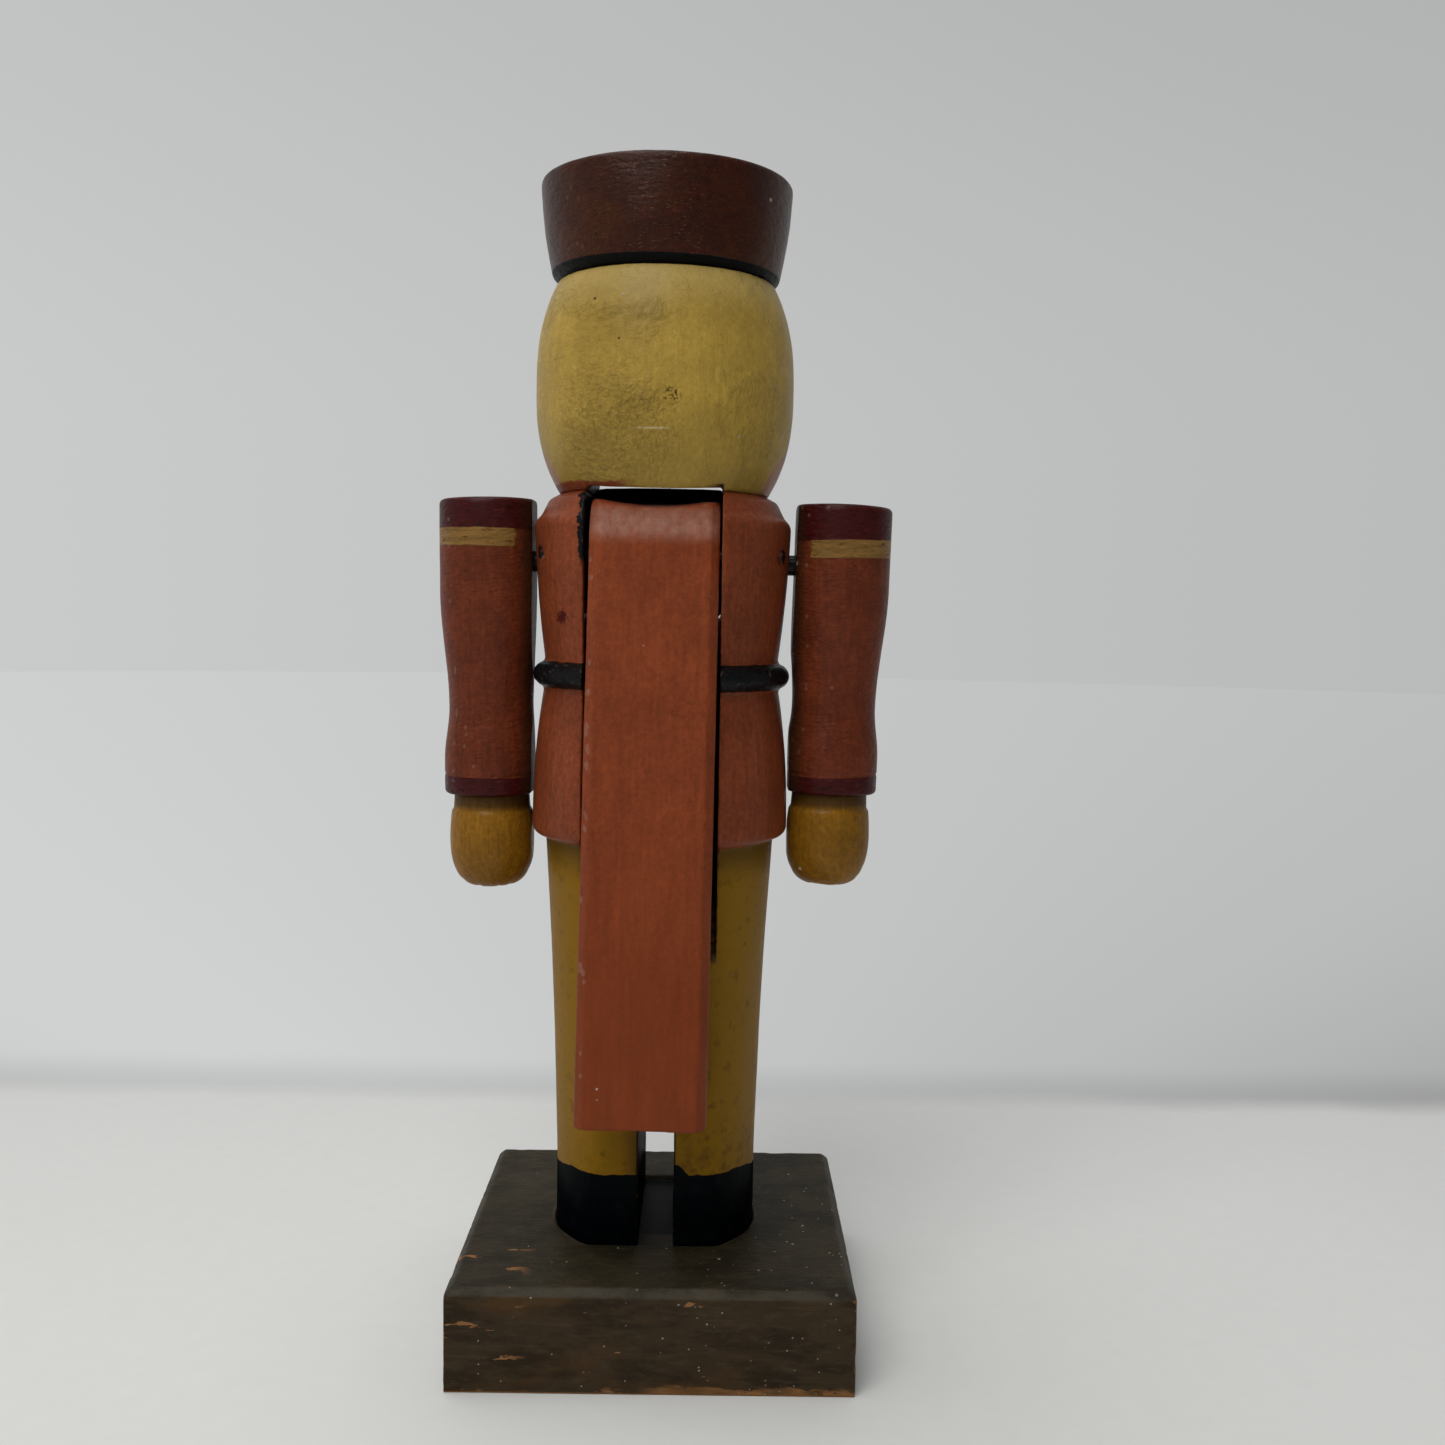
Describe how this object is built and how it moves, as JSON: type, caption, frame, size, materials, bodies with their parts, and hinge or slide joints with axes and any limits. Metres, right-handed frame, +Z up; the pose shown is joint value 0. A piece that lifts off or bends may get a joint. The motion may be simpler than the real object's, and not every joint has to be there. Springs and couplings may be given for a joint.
{
  "type": "nutcracker figure",
  "caption": "Turned wooden soldier nutcracker on a square base, with a back lever that opens the jaw.",
  "frame": {"origin": "middle of the base's underside, on the surface the figure stands on", "axes": "+Z up, the figure faces -Y, so +X is the figure's own left and +Y is behind it"},
  "size_m": [0.1121, 0.09, 0.2808],
  "materials": {
    "coat_paint": "satin",
    "head_paint": "satin",
    "hat_paint": "satin",
    "base_paint": "satin",
    "hand_paint": "satin",
    "face_paint": "satin",
    "bare_dowel": "matte",
    "blackened_dowel": "matte",
    "steel_pin": "satin",
    "zinc_screw": "satin"
  },
  "bodies": {
    "figure": {"base_block": "base_paint", "leg_screws": "zinc_screw", "body_column": "coat_paint", "head": "head_paint", "head_dowels": "bare_dowel", "nose": "face_paint", "hat": "hat_paint", "hat_dowel": "bare_dowel", "lever_pin": "steel_pin", "sleeve_left_arm": "coat_paint", "sleeve_right_arm": "coat_paint", "hand_left": "hand_paint", "hand_right": "hand_paint", "hand_dowel_left": "bare_dowel", "hand_dowel_right": "bare_dowel", "shoulder_dowel_left": "blackened_dowel", "shoulder_dowel_right": "blackened_dowel"},
    "jaw_lever": {"lever": "coat_paint"}
  },
  "joints": [
    {"name": "jaw_pivot", "type": "hinge", "parent": "figure", "child": "jaw_lever", "pos_m": [0.002, 0.012, 0.191], "axis": [1, 0, 0], "range_deg": [0, 35]}
  ]
}
